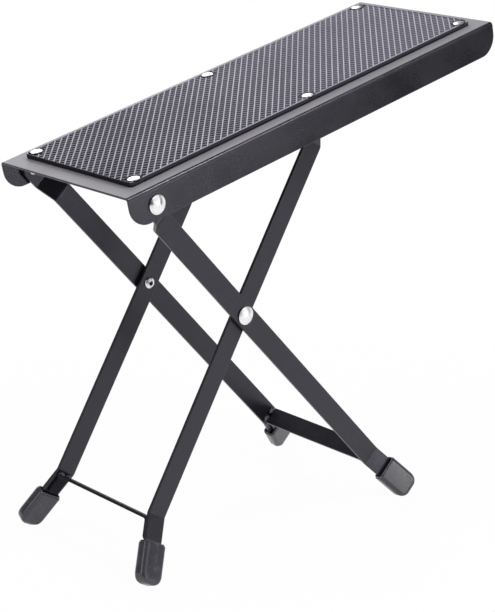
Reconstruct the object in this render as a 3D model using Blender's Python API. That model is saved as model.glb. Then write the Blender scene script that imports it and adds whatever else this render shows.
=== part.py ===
"""Folding guitar footrest, set up at its steep notch.

A pressed steel deck carries a ribbed rubber mat.  Its low front end hangs on the outer leg frame,
and a rod across the top of the inner leg frame bears under the toothed rack of the deck.  The two
frames cross at a pair of rivets and stand on four rubber caps.

Metres, +Z up.  +X runs from the low front end of the deck to its high rear end, left is -Y.
The origin is on the floor, below the middle of the whole object.
"""

import math

import bmesh
import bpy
from mathutils import Vector

# Deck: a channel pressed from one sheet, with its low end at the front
DECK_LENGTH = 0.2605
DECK_WIDTH = 0.101
DECK_SHEET = 0.0012
FLANGE_HEIGHT = 0.0167
DECK_BEND = 0.0006
FLANGE_CORNER = 0.0105
DECK_TILT = math.radians(13.5)

# Deck pivot: its place in the flanges
PIVOT_FROM_FRONT = 0.0158
PIVOT_BELOW_TOP = 0.0091

# Leg frames: flat steel straps
STRAP_WIDTH = 0.0117
STRAP_THICK = 0.0018
STRAP_BEND = 0.0020
OUTER_SLOPE = math.radians(46.2)
INNER_SLOPE = math.radians(59.5)
CROSS_REACH = 0.0967
JOGGLE_START = 0.0087
JOGGLE_RUN = 0.0085
JOGGLE_DEPTH = 0.0077
OUTER_BEND_REACH = 0.2357
OUTER_FLARE = 0.0013
OUTER_SPLAY = math.radians(20)
OUTER_FOOT = 0.0325
INNER_FLARE = 0.0009
INNER_SPLAY = math.radians(22)
INNER_FOOT = 0.0358
INNER_TAB_LENGTH = 0.0090
INNER_NECK_RUN = 0.0120
INNER_NECK_DROP = 0.0066

# Braces: straps set across each frame, folded down along the feet
BRACE_THICK = 0.0015
BRACE_WIDTH = 0.0104
BRACE_BEND = 0.0015
BRACE_CORNER = 0.0020
OUTER_BRACE_BEFORE_BEND = 0.0019
INNER_BRACE_PAST_BEND = 0.0030
TAB_TO_CAP = 0.0008

# Rubber foot caps
CAP_LENGTH = 0.0215
CAP_WIDTH = 0.0150
CAP_THICK = 0.0072
CAP_CORNER = 0.0024
CAP_TIP = 0.0058
CAP_TIP_THICK = 0.0026
CAP_LIP = 0.0005
CAP_WALL = 0.0012
CAP_MOUTH_DEPTH = 0.0022
CAP_FLOOR = 0.0060
FLOOR_BITE = 0.0006

# Support rod and the rack that it bears on
ROD_RADIUS = 0.0030
ROD_NECK_RADIUS = 0.0021
ROD_HEAD_RADIUS = 0.0036
ROD_HEAD_THICK = 0.0010
RACK_SHEET = 0.0010
RACK_WIDTH = 0.026
RACK_BEND = 0.0005
NOTCH_COUNT = 5
NOTCH_PITCH = 0.0140
NOTCH_RADIUS = 0.0033
RACK_END = 0.0080
ROD_CLEARANCE = 0.00035

# Pivot rivets
BORE_RADIUS = 0.0026
SHANK_RADIUS = 0.0023
HEAD_RADIUS = 0.0048
HEAD_RISE = 0.0021
TAIL_RADIUS = 0.0031
TAIL_THICK = 0.0013
TAIL_HOLLOW = 0.0013
WASHER_RADIUS = 0.0050
WASHER_THICK = 0.0005

# Mat and the rivets that hold it
MAT_THICK = 0.0022
MAT_MARGIN_END = 0.0098
MAT_MARGIN_SIDE = 0.0092
MAT_CORNER = 0.0018
TREAD_PITCH = 0.00307
RIDGE_HEIGHT = 0.0006
CROSS_RIDGE_HEIGHT = 0.00045
RIDGE_FOOT = 0.0006
MAT_RIVET_INSET = 0.0035
MAT_BORE_RADIUS = 0.0016
MAT_SHANK_RADIUS = 0.0013
MAT_HEAD_RADIUS = 0.0033
MAT_HEAD_RISE = 0.0011
MAT_TAIL_RADIUS = 0.0024
MAT_TAIL_THICK = 0.0008
MAT_TAIL_HOLLOW = 0.0007

# Clearances, and how far the cutters reach past the metal
SEAT_GAP = 0.0003
CUT_OVERRUN = 0.004

# Counts
BEND_STEPS = 4
CORNER_STEPS = 8
ROUND_STEPS = 24
DOME_STEPS = 4
TIP_STEPS = 5
RIDGES_PER_SOLID_RIDGE = 3

# A strap set this little out of line has a mitre and no arc
SLIGHT_TURN = math.radians(3)

# Share of half a strap's width that its rounded end takes
ROUND_END_SHARE = 0.97

# The triangle of deck pivot, cross rivets and support rod
OUTER_TO_DECK = OUTER_SLOPE + DECK_TILT
INNER_TO_DECK = INNER_SLOPE - DECK_TILT
ROD_REACH = CROSS_REACH * math.sin(OUTER_TO_DECK) / math.sin(INNER_TO_DECK)
ROD_FROM_PIVOT = CROSS_REACH * math.cos(OUTER_TO_DECK) + ROD_REACH * math.cos(INNER_TO_DECK)

# Places across the width, from the flanges inwards, measured from the middle
HALF_DECK = DECK_WIDTH / 2
FLANGE_INSIDE = HALF_DECK - DECK_SHEET
TAB_OUTSIDE = FLANGE_INSIDE - WASHER_THICK - 2 * SEAT_GAP
OUTER_HALF_SPAN = TAB_OUTSIDE - JOGGLE_DEPTH
OUTER_MIDDLE = OUTER_HALF_SPAN - STRAP_THICK / 2
OUTER_FOOT_MIDDLE = OUTER_MIDDLE + OUTER_FLARE
INNER_OUTSIDE = OUTER_HALF_SPAN - STRAP_THICK - WASHER_THICK - 2 * SEAT_GAP
INNER_MIDDLE = INNER_OUTSIDE - STRAP_THICK / 2
INNER_FOOT_MIDDLE = INNER_MIDDLE + INNER_FLARE
NECK_MIDDLE = INNER_MIDDLE - INNER_NECK_DROP
MAT_LENGTH = DECK_LENGTH - 2 * MAT_MARGIN_END
MAT_WIDTH = DECK_WIDTH - 2 * MAT_MARGIN_SIDE
DECK_UNDERSIDE = PIVOT_BELOW_TOP - DECK_SHEET

SIDES = {"left": -1, "right": 1}


def clear_scene():
    for thing in list(bpy.data.objects):
        bpy.data.objects.remove(thing)


def finish(name, colour, roughness, metallic):
    material = bpy.data.materials.new(name)
    material.use_nodes = True
    shader = material.node_tree.nodes["Principled BSDF"]
    shader.inputs["Base Color"].default_value = (*colour, 1)
    shader.inputs["Roughness"].default_value = roughness
    shader.inputs["Metallic"].default_value = metallic
    material.diffuse_color = (*colour, 1)
    return material


def empty(name, parent, location, turn_about_y):
    frame = bpy.data.objects.new(name, None)
    frame.location = location
    frame.rotation_euler = (0, turn_about_y, 0)
    frame.parent = parent
    bpy.context.scene.collection.objects.link(frame)
    return frame


def piece(name, shape, material, parent, location=(0, 0, 0), turn_about_z=0):
    """A named object from a bmesh, hung on the frame that carries it."""
    bmesh.ops.recalc_face_normals(shape, faces=shape.faces)
    mesh = bpy.data.meshes.new(name)
    shape.to_mesh(mesh)
    shape.free()
    mesh.materials.append(material)
    thing = bpy.data.objects.new(name, mesh)
    thing.parent = parent
    thing.location = location
    thing.rotation_euler = (0, 0, turn_about_z)
    bpy.context.scene.collection.objects.link(thing)
    mesh.shade_smooth()
    mesh.set_sharp_from_angle(angle=math.radians(35))
    return thing


def cutter(name, shape, parent, location=(0, 0, 0)):
    """A shape that only cuts others: it is never rendered."""
    bmesh.ops.recalc_face_normals(shape, faces=shape.faces)
    mesh = bpy.data.meshes.new(name)
    shape.to_mesh(mesh)
    shape.free()
    thing = bpy.data.objects.new(name, mesh)
    thing.parent = parent
    thing.location = location
    thing.hide_render = True
    thing.display_type = "WIRE"
    bpy.context.scene.collection.objects.link(thing)
    return thing


def cut(thing, tool, operation="DIFFERENCE"):
    modifier = thing.modifiers.new(tool.name, "BOOLEAN")
    modifier.operation = operation
    modifier.solver = "EXACT"
    modifier.object = tool


def rounded_path(corners, radius):
    """Points along a line of straight runs joined by arcs, each with its unit normal."""
    spots = [Vector(corner) for corner in corners]
    path = []
    for i, spot in enumerate(spots):
        before = (spot - spots[i - 1]).normalized() if i else None
        after = (spots[i + 1] - spot).normalized() if i + 1 < len(spots) else None
        if before is None or after is None:
            along = after or before
            path.append((spot, Vector((-along.y, along.x))))
            continue
        turn = before.angle_signed(after) * -1
        if abs(turn) < SLIGHT_TURN:
            along = (before + after).normalized()
            path.append((spot, Vector((-along.y, along.x))))
            continue
        side = 1 if turn > 0 else -1
        start = spot - before * radius * math.tan(abs(turn) / 2)
        centre = start + Vector((-before.y, before.x)) * radius * side
        for step in range(BEND_STEPS + 1):
            angle = turn * step / BEND_STEPS
            along = Vector(
                (
                    before.x * math.cos(angle) - before.y * math.sin(angle),
                    before.x * math.sin(angle) + before.y * math.cos(angle),
                )
            )
            normal = Vector((-along.y, along.x))
            path.append((centre - normal * radius * side, normal))
    return path


def strap(corners, thick, bend, width, place, round_start=0, round_end=0):
    """A flat bar bent along a path, as a bmesh.

    corners is the line of the bar's middle, bend the inside radius of its bends, and place turns
    (first, second, across) into (x, y, z).  The ends' corners can be rounded.
    """
    shape = bmesh.new()
    stations = []
    for spot, normal in rounded_path(corners, bend + thick / 2):
        left = spot + normal * thick / 2
        right = spot - normal * thick / 2
        ring = ((left, -width / 2), (right, -width / 2), (right, width / 2), (left, width / 2))
        stations.append([shape.verts.new(place(at.x, at.y, across)) for at, across in ring])
    for ring, following in zip(stations, stations[1:]):
        for i in range(4):
            j = (i + 1) % 4
            shape.faces.new((ring[i], ring[j], following[j], following[i]))
    shape.faces.new(stations[0])
    shape.faces.new(stations[-1])
    for ring, radius in ((stations[0], round_start), (stations[-1], round_end)):
        if radius:
            edges = [shape.edges.get((ring[0], ring[1])), shape.edges.get((ring[2], ring[3]))]
            bmesh.ops.bevel(
                shape,
                geom=edges,
                offset=radius,
                segments=CORNER_STEPS,
                profile=0.5,
                affect="EDGES",
                clamp_overlap=False,
            )
    return shape


def along_leg(first, second, across):
    return (first, second, across)


def across_deck(first, second, across):
    return (across, first, second)


def turned(profile):
    """A round piece turned about the Y axis, from (radius, y) points that start and end on it."""
    shape = bmesh.new()
    rings = []
    for radius, y in profile:
        if radius == 0:
            rings.append([shape.verts.new((0, y, 0))])
            continue
        ring = []
        for step in range(ROUND_STEPS):
            angle = math.tau * step / ROUND_STEPS
            ring.append(shape.verts.new((radius * math.cos(angle), y, radius * math.sin(angle))))
        rings.append(ring)
    for ring, following in zip(rings, rings[1:]):
        for i in range(ROUND_STEPS):
            j = (i + 1) % ROUND_STEPS
            if len(ring) == 1:
                shape.faces.new((ring[0], following[j], following[i]))
            elif len(following) == 1:
                shape.faces.new((ring[i], ring[j], following[0]))
            else:
                shape.faces.new((ring[i], ring[j], following[j], following[i]))
    return shape


def rivet(head_radius, head_rise, shank_radius, grip, tail_radius, tail_thick, tail_hollow):
    """A domed rivet along +Y: its head's seat is at y = 0, and its tail is rolled over at the grip."""
    sphere = (head_radius**2 + head_rise**2) / (2 * head_rise)
    sweep = math.asin(head_radius / sphere)
    profile = []
    for step in range(DOME_STEPS + 1):
        angle = sweep * step / DOME_STEPS
        profile.append((sphere * math.sin(angle), sphere - head_rise - sphere * math.cos(angle)))
    profile.append((shank_radius, 0))
    profile.append((shank_radius, grip))
    profile.append((tail_radius, grip))
    middle = (tail_radius + tail_hollow) / 2
    half = (tail_radius - tail_hollow) / 2
    for step in range(1, DOME_STEPS + 1):
        angle = math.pi * step / DOME_STEPS
        profile.append((middle + half * math.cos(angle), grip + tail_thick * math.sin(angle / 2)))
    profile.append((0, grip + tail_thick / 2))
    profile[0] = (0, profile[0][1])
    return turned(profile)


def ring_of(inner, outer, thick):
    """A flat washer along +Y, from y = 0."""
    shape = bmesh.new()
    loops = []
    for radius, y in ((inner, 0), (outer, 0), (outer, thick), (inner, thick)):
        loop = []
        for step in range(ROUND_STEPS):
            angle = math.tau * step / ROUND_STEPS
            loop.append(shape.verts.new((radius * math.cos(angle), y, radius * math.sin(angle))))
        loops.append(loop)
    for k, loop in enumerate(loops):
        following = loops[(k + 1) % len(loops)]
        for i in range(ROUND_STEPS):
            j = (i + 1) % ROUND_STEPS
            shape.faces.new((loop[i], loop[j], following[j], following[i]))
    return shape


def bore(radius, half_length):
    """A round cutter along Y, centred on its origin."""
    return turned([(0, -half_length), (radius, -half_length), (radius, half_length), (0, half_length)])


def rounded_section(x, half_y, half_z, radius):
    """One ring of a rounded rectangle in the plane x."""
    ring = []
    for quarter, (sign_y, sign_z) in enumerate(((1, 1), (-1, 1), (-1, -1), (1, -1))):
        for step in range(BEND_STEPS + 1):
            angle = math.pi / 2 * (quarter + step / BEND_STEPS)
            y = sign_y * (half_y - radius) + radius * math.cos(angle)
            z = sign_z * (half_z - radius) + radius * math.sin(angle)
            ring.append((x, y, z))
    return ring


def cap_rings(foot_length):
    """The rings of a foot cap, from the bottom of its slot, over the lip and round its tip."""
    mouth = foot_length - CAP_LENGTH
    half_y = CAP_THICK / 2
    half_z = CAP_WIDTH / 2
    slot_y = STRAP_THICK / 2 + SEAT_GAP
    slot_z = STRAP_WIDTH / 2 + SEAT_GAP
    slot_round = SEAT_GAP
    wide_y = half_y - CAP_WALL
    wide_z = half_z - CAP_WALL
    wide_round = CAP_CORNER - CAP_WALL
    rings = [
        rounded_section(foot_length - CAP_FLOOR, slot_y, slot_z, slot_round),
        rounded_section(mouth + CAP_MOUTH_DEPTH, slot_y, slot_z, slot_round),
        rounded_section(mouth + CAP_MOUTH_DEPTH, wide_y, wide_z, wide_round),
        rounded_section(mouth, wide_y, wide_z, wide_round),
        rounded_section(mouth, half_y - CAP_LIP, half_z - CAP_LIP, CAP_CORNER - CAP_LIP),
        rounded_section(mouth + CAP_LIP, half_y, half_z, CAP_CORNER),
    ]
    for step in range(TIP_STEPS + 1):
        angle = math.pi / 2 * step / TIP_STEPS
        shrink = 1 - math.cos(angle)
        tip_y = half_y - CAP_TIP_THICK * shrink
        tip_z = half_z - CAP_TIP * shrink
        radius = CAP_CORNER - (CAP_CORNER - CAP_LIP) * shrink
        x = foot_length - CAP_TIP * (1 - math.sin(angle))
        rings.append(rounded_section(x, tip_y, tip_z, radius))
    return rings


def cap_shape(foot_length):
    shape = bmesh.new()
    loops = [[shape.verts.new(point) for point in ring] for ring in cap_rings(foot_length)]
    count = len(loops[0])
    for loop, following in zip(loops, loops[1:]):
        for i in range(count):
            j = (i + 1) % count
            shape.faces.new((loop[i], loop[j], following[j], following[i]))
    shape.faces.new(loops[0])
    shape.faces.new(loops[-1])
    return shape


def cap_drop(foot_length, slope, splay, width_down):
    """How far a cap reaches below the bend of its foot, for a leg at this slope and splay."""
    down = Vector(
        (
            math.cos(splay) * math.sin(slope),
            -math.sin(splay) * math.sin(slope),
            width_down * math.cos(slope),
        )
    )
    return max(down.dot(Vector(point)) for ring in cap_rings(foot_length) for point in ring)


def foot_line(bend_reach, middle, splay, offset, distance):
    """A point in the plane of a foot: offset inwards from its middle, distance past its bend."""
    x = bend_reach + offset * math.sin(splay) + distance * math.cos(splay)
    y = middle - offset * math.cos(splay) + distance * math.sin(splay)
    return x, y


def leg_path(sign, corners):
    return [(x, sign * y) for x, y in corners]


def feet_below(bend_reach, foot_length, slope, splay, width_down):
    """How far the feet reach below the point that a leg is measured from."""
    return bend_reach * math.sin(slope) + cap_drop(foot_length, slope, splay, width_down)


def brace_path(reach, bend_reach, middle, splay, foot_length):
    """The brace's middle line: a tab up one foot, across the frame, and a tab down the other."""
    offset = STRAP_THICK / 2 + SEAT_GAP + BRACE_THICK / 2
    tab_end = foot_line(bend_reach, middle, splay, offset, foot_length - CAP_LENGTH - TAB_TO_CAP)
    start = foot_line(bend_reach, middle, splay, offset, 0)
    corner_y = start[1] + (reach - start[0]) * math.tan(splay)
    half = [tab_end, (reach, corner_y)]
    return [(x, -y) for x, y in half] + half[::-1]


def tread_block():
    """A block whose top is the mat's tread: two sets of ridges, square to each other and at 45
    degrees to the deck.  The real tread is finer: only every third of its ridges is here.
    """
    spacing = RIDGES_PER_SOLID_RIDGE * TREAD_PITCH
    reach = (MAT_LENGTH + MAT_WIDTH) / math.sqrt(8)
    count = math.ceil(reach / spacing) + 1
    lines = []
    for number in range(-count, count + 1):
        lines += [(number * spacing + step, step == 0) for step in (-RIDGE_FOOT, 0, RIDGE_FOOT)]
    shape = bmesh.new()
    valley = MAT_THICK - RIDGE_HEIGHT
    rows = []
    for first, on_cross in lines:
        row = []
        for second, on_main in lines:
            height = RIDGE_HEIGHT if on_main else CROSS_RIDGE_HEIGHT if on_cross else 0
            along = (first - second) / math.sqrt(2)
            across = (first + second) / math.sqrt(2)
            row.append(shape.verts.new((along, across, valley + height)))
        rows.append(row)
    for row, following in zip(rows, rows[1:]):
        for i in range(len(lines) - 1):
            shape.faces.new((row[i], row[i + 1], following[i + 1], following[i]))
    outline = rows[0] + [row[-1] for row in rows[1:]] + rows[-1][-2::-1]
    outline += [row[0] for row in rows[-2:0:-1]]
    lower = [shape.verts.new((at.co.x, at.co.y, -CUT_OVERRUN)) for at in outline]
    for i, at in enumerate(outline):
        j = (i + 1) % len(outline)
        shape.faces.new((at, outline[j], lower[j], lower[i]))
    shape.faces.new(lower)
    return shape


def build_deck(paint, rubber, steel, frame, pivot_bore):
    top = PIVOT_BELOW_TOP - DECK_SHEET / 2
    foot = PIVOT_BELOW_TOP - FLANGE_HEIGHT
    side = HALF_DECK - DECK_SHEET / 2
    middle = DECK_LENGTH / 2 - PIVOT_FROM_FRONT
    shape = strap(
        [(-side, foot), (-side, top), (side, top), (side, foot)],
        DECK_SHEET,
        DECK_BEND,
        DECK_LENGTH,
        across_deck,
        FLANGE_CORNER,
        FLANGE_CORNER,
    )
    bmesh.ops.translate(shape, verts=shape.verts, vec=(middle, 0, 0))
    deck = piece("deck", shape, paint, frame)
    cut(deck, pivot_bore)

    mat_shape = bmesh.new()
    bmesh.ops.create_cube(mat_shape, size=1)
    height = MAT_THICK + CUT_OVERRUN
    bmesh.ops.scale(mat_shape, verts=mat_shape.verts, vec=(MAT_LENGTH, MAT_WIDTH, height))
    uprights = [e for e in mat_shape.edges if e.verts[0].co.z * e.verts[1].co.z < 0]
    bmesh.ops.bevel(
        mat_shape,
        geom=uprights,
        offset=MAT_CORNER,
        segments=BEND_STEPS,
        profile=0.5,
        affect="EDGES",
    )
    bmesh.ops.translate(mat_shape, verts=mat_shape.verts, vec=(0, 0, height / 2))
    seat = (middle, 0, PIVOT_BELOW_TOP + SEAT_GAP)
    mat = piece("mat", mat_shape, rubber, frame, seat)
    cut(mat, cutter("tread", tread_block(), frame, seat), "INTERSECT")

    grip = MAT_THICK + DECK_SHEET + 3 * SEAT_GAP
    head_seat = PIVOT_BELOW_TOP + MAT_THICK + 2 * SEAT_GAP
    reach_x = MAT_LENGTH / 2 - MAT_RIVET_INSET
    reach_y = MAT_WIDTH / 2 - MAT_RIVET_INSET
    number = 0
    for x in (-reach_x, 0, reach_x):
        for y in (-reach_y, reach_y):
            number += 1
            at = (middle + x, y, head_seat)
            tool = cutter(
                f"mat_bore_{number}",
                bore(MAT_BORE_RADIUS, grip / 2 + CUT_OVERRUN),
                frame,
                (at[0], at[1], head_seat - grip / 2),
            )
            tool.rotation_euler = (math.radians(90), 0, 0)
            cut(deck, tool)
            cut(mat, tool)
            fixing = piece(
                f"mat_rivet_{number}",
                rivet(
                    MAT_HEAD_RADIUS,
                    MAT_HEAD_RISE,
                    MAT_SHANK_RADIUS,
                    grip,
                    MAT_TAIL_RADIUS,
                    MAT_TAIL_THICK,
                    MAT_TAIL_HOLLOW,
                ),
                steel,
                frame,
                at,
            )
            fixing.rotation_euler = (math.radians(-90), 0, 0)
    return deck


def build_rack(paint, frame):
    """A shallow channel welded under the deck, with notches for the rod across both walls."""
    top = DECK_UNDERSIDE - SEAT_GAP - RACK_SHEET / 2
    tips = ROD_RADIUS + ROD_CLEARANCE
    side = (RACK_WIDTH - RACK_SHEET) / 2
    last = ROD_FROM_PIVOT + (NOTCH_COUNT - 1) * NOTCH_PITCH
    length = last - ROD_FROM_PIVOT + 2 * RACK_END
    shape = strap(
        [(-side, tips), (-side, top), (side, top), (side, tips)],
        RACK_SHEET,
        RACK_BEND,
        length,
        across_deck,
    )
    bmesh.ops.translate(shape, verts=shape.verts, vec=((ROD_FROM_PIVOT + last) / 2, 0, 0))
    rack = piece("height_rack", shape, paint, frame)
    for number in range(NOTCH_COUNT):
        tool = cutter(
            f"rack_notch_{number + 1}",
            bore(NOTCH_RADIUS, RACK_WIDTH / 2 + CUT_OVERRUN),
            frame,
            (ROD_FROM_PIVOT + number * NOTCH_PITCH, 0, tips),
        )
        cut(rack, tool)
    return rack


def build_deck_pivots(steel, frame):
    grip = DECK_SHEET + WASHER_THICK + STRAP_THICK + 4 * SEAT_GAP
    for side, sign in SIDES.items():
        seat = sign * (HALF_DECK + SEAT_GAP)
        pin = piece(
            f"deck_pivot_rivet_{side}",
            rivet(
                HEAD_RADIUS, HEAD_RISE, SHANK_RADIUS, grip, TAIL_RADIUS, TAIL_THICK, TAIL_HOLLOW
            ),
            steel,
            frame,
            (0, seat, 0),
        )
        pin.rotation_euler = (0, 0, math.pi if sign > 0 else 0)
        inner = FLANGE_INSIDE - SEAT_GAP - (WASHER_THICK if sign > 0 else 0)
        start = sign * inner
        piece(
            f"deck_pivot_washer_{side}",
            ring_of(BORE_RADIUS, WASHER_RADIUS, WASHER_THICK),
            steel,
            frame,
            (0, start, 0),
        )


def build_outer_frame(paint, steel, rubber, frame, pivot_bore, cross_bore, floor):
    round_end = STRAP_WIDTH / 2 * ROUND_END_SHARE
    tab_middle = TAB_OUTSIDE - STRAP_THICK / 2
    foot_end = OUTER_FOOT - CAP_FLOOR - SEAT_GAP
    joggle_end = JOGGLE_START + JOGGLE_RUN
    corners = [
        (-STRAP_WIDTH / 2, tab_middle),
        (JOGGLE_START, tab_middle),
        (joggle_end, OUTER_MIDDLE),
        (CROSS_REACH, OUTER_MIDDLE),
        (OUTER_BEND_REACH, OUTER_FOOT_MIDDLE),
        foot_line(OUTER_BEND_REACH, OUTER_FOOT_MIDDLE, OUTER_SPLAY, 0, foot_end),
    ]
    for side, sign in SIDES.items():
        shape = strap(
            leg_path(sign, corners),
            STRAP_THICK,
            STRAP_BEND,
            STRAP_WIDTH,
            along_leg,
            round_start=round_end,
        )
        leg = piece(f"outer_leg_{side}", shape, paint, frame)
        cut(leg, pivot_bore)
        cut(leg, cross_bore)
        cap = piece(
            f"rear_foot_cap_{side}",
            cap_shape(OUTER_FOOT),
            rubber,
            frame,
            (OUTER_BEND_REACH, sign * OUTER_FOOT_MIDDLE, 0),
            sign * OUTER_SPLAY,
        )
        cut(cap, floor)
        grip = 2 * STRAP_THICK + WASHER_THICK + 4 * SEAT_GAP
        pin = piece(
            f"cross_rivet_{side}",
            rivet(
                HEAD_RADIUS, HEAD_RISE, SHANK_RADIUS, grip, TAIL_RADIUS, TAIL_THICK, TAIL_HOLLOW
            ),
            steel,
            frame,
            (CROSS_REACH, sign * (OUTER_HALF_SPAN + SEAT_GAP), 0),
        )
        pin.rotation_euler = (0, 0, math.pi if sign > 0 else 0)
        inner = INNER_OUTSIDE + SEAT_GAP + (0 if sign > 0 else WASHER_THICK)
        piece(
            f"cross_washer_{side}",
            ring_of(BORE_RADIUS, WASHER_RADIUS, WASHER_THICK),
            steel,
            frame,
            (CROSS_REACH, sign * inner, 0),
        )
    reach = OUTER_BEND_REACH - OUTER_BRACE_BEFORE_BEND
    path = brace_path(reach, OUTER_BEND_REACH, OUTER_FOOT_MIDDLE, OUTER_SPLAY, OUTER_FOOT)
    shape = strap(
        path, BRACE_THICK, BRACE_BEND, BRACE_WIDTH, along_leg, BRACE_CORNER, BRACE_CORNER
    )
    piece("outer_brace", shape, paint, frame)


def build_inner_frame(paint, steel, rubber, frame, cross_bore, rod_bore, floor, bend_reach):
    round_end = STRAP_WIDTH / 2 * ROUND_END_SHARE
    foot_end = INNER_FOOT - CAP_FLOOR - SEAT_GAP
    tab_start = -ROD_REACH + INNER_TAB_LENGTH
    corners = [
        (-ROD_REACH - STRAP_WIDTH / 2, NECK_MIDDLE),
        (tab_start, NECK_MIDDLE),
        (tab_start + INNER_NECK_RUN, INNER_MIDDLE),
        (0, INNER_MIDDLE),
        (bend_reach, INNER_FOOT_MIDDLE),
        foot_line(bend_reach, INNER_FOOT_MIDDLE, INNER_SPLAY, 0, foot_end),
    ]
    for side, sign in SIDES.items():
        shape = strap(
            leg_path(sign, corners),
            STRAP_THICK,
            STRAP_BEND,
            STRAP_WIDTH,
            along_leg,
            round_start=round_end,
        )
        leg = piece(f"inner_leg_{side}", shape, paint, frame)
        cut(leg, cross_bore)
        cut(leg, rod_bore)
        cap = piece(
            f"front_foot_cap_{side}",
            cap_shape(INNER_FOOT),
            rubber,
            frame,
            (bend_reach, sign * INNER_FOOT_MIDDLE, 0),
            sign * INNER_SPLAY,
        )
        cut(cap, floor)
    reach = bend_reach + INNER_BRACE_PAST_BEND
    path = brace_path(reach, bend_reach, INNER_FOOT_MIDDLE, INNER_SPLAY, INNER_FOOT)
    shape = strap(
        path, BRACE_THICK, BRACE_BEND, BRACE_WIDTH, along_leg, BRACE_CORNER, BRACE_CORNER
    )
    piece("inner_brace", shape, paint, frame)

    shoulder = NECK_MIDDLE - STRAP_THICK / 2 - SEAT_GAP
    outside = NECK_MIDDLE + STRAP_THICK / 2 + SEAT_GAP
    half = [
        (ROD_RADIUS, shoulder),
        (ROD_NECK_RADIUS, shoulder),
        (ROD_NECK_RADIUS, outside),
        (ROD_HEAD_RADIUS, outside),
        (ROD_HEAD_RADIUS, outside + ROD_HEAD_THICK / 2),
        (ROD_NECK_RADIUS, outside + ROD_HEAD_THICK),
        (0, outside + ROD_HEAD_THICK),
    ]
    profile = [(radius, -y) for radius, y in half[::-1]] + half
    piece("support_rod", turned(profile), steel, frame, (-ROD_REACH, 0, 0))


def lengthwise_reach(names):
    """The lowest and highest x of these objects, in world space."""
    bpy.context.view_layer.update()
    spots = []
    for name in names:
        thing = bpy.data.objects[name]
        spots += [(thing.matrix_world @ vertex.co).x for vertex in thing.data.vertices]
    return min(spots), max(spots)


def build():
    clear_scene()
    paint = finish("black_powder_coat", (0.035, 0.035, 0.040), 0.38, 0.0)
    mat_rubber = finish("mat_rubber", (0.045, 0.045, 0.050), 0.70, 0.0)
    cap_rubber = finish("cap_rubber", (0.060, 0.060, 0.068), 0.50, 0.0)
    steel = finish("bright_steel", (0.80, 0.80, 0.82), 0.18, 1.0)
    dark_steel = finish("dark_steel", (0.12, 0.12, 0.13), 0.40, 1.0)

    # All four feet reach one floor, so the inner legs' length follows from the outer ones
    below = feet_below(OUTER_BEND_REACH, OUTER_FOOT, OUTER_SLOPE, OUTER_SPLAY, -1)
    cross_below = CROSS_REACH * math.sin(OUTER_SLOPE)
    missing = below - cross_below - feet_below(0, INNER_FOOT, INNER_SLOPE, INNER_SPLAY, 1)
    inner_bend_reach = missing / math.sin(INNER_SLOPE)

    stand = empty("footrest", None, (0, 0, below - FLOOR_BITE), 0)
    deck_frame = empty("deck_pivot_axis", stand, (0, 0, 0), -DECK_TILT)
    outer_frame = empty("outer_frame_axis", stand, (0, 0, 0), OUTER_SLOPE)
    cross = (CROSS_REACH * math.cos(OUTER_SLOPE), 0, -cross_below)
    inner_frame = empty("cross_pivot_axis", stand, cross, math.pi - INNER_SLOPE)

    through = DECK_WIDTH / 2 + CUT_OVERRUN
    pivot_bore = cutter("deck_pivot_bore", bore(BORE_RADIUS, through), stand)
    cross_bore = cutter("cross_bore", bore(BORE_RADIUS, through), stand, cross)
    rod_hole = ROD_NECK_RADIUS + SEAT_GAP
    rod_bore = cutter("rod_bore", bore(rod_hole, through), inner_frame, (-ROD_REACH, 0, 0))
    floor_shape = bmesh.new()
    bmesh.ops.create_cube(floor_shape, size=1)
    reach = 2 * DECK_LENGTH
    bmesh.ops.scale(floor_shape, verts=floor_shape.verts, vec=(reach, reach, CUT_OVERRUN))
    drop = (0, 0, FLOOR_BITE - below - CUT_OVERRUN / 2)
    floor = cutter("floor_plane", floor_shape, stand, drop)

    build_deck(paint, mat_rubber, steel, deck_frame, pivot_bore)
    build_rack(paint, deck_frame)
    build_deck_pivots(steel, deck_frame)
    build_outer_frame(paint, steel, cap_rubber, outer_frame, pivot_bore, cross_bore, floor)
    build_inner_frame(
        paint, dark_steel, cap_rubber, inner_frame, cross_bore, rod_bore, floor, inner_bend_reach
    )
    low, high = lengthwise_reach(("deck", "front_foot_cap_left", "rear_foot_cap_left"))
    stand.location.x = -(low + high) / 2
    print("Deck pivot at", stand.location.x, stand.location.z)
    print("Cross pivot at", stand.location.x + cross[0], stand.location.z + cross[2])
    print("Inner bend from the cross pivot", inner_bend_reach, "rod from it", ROD_REACH)


build()
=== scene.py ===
import math

import bmesh
import bpy
import numpy as np
from mathutils import Matrix, Vector


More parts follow.
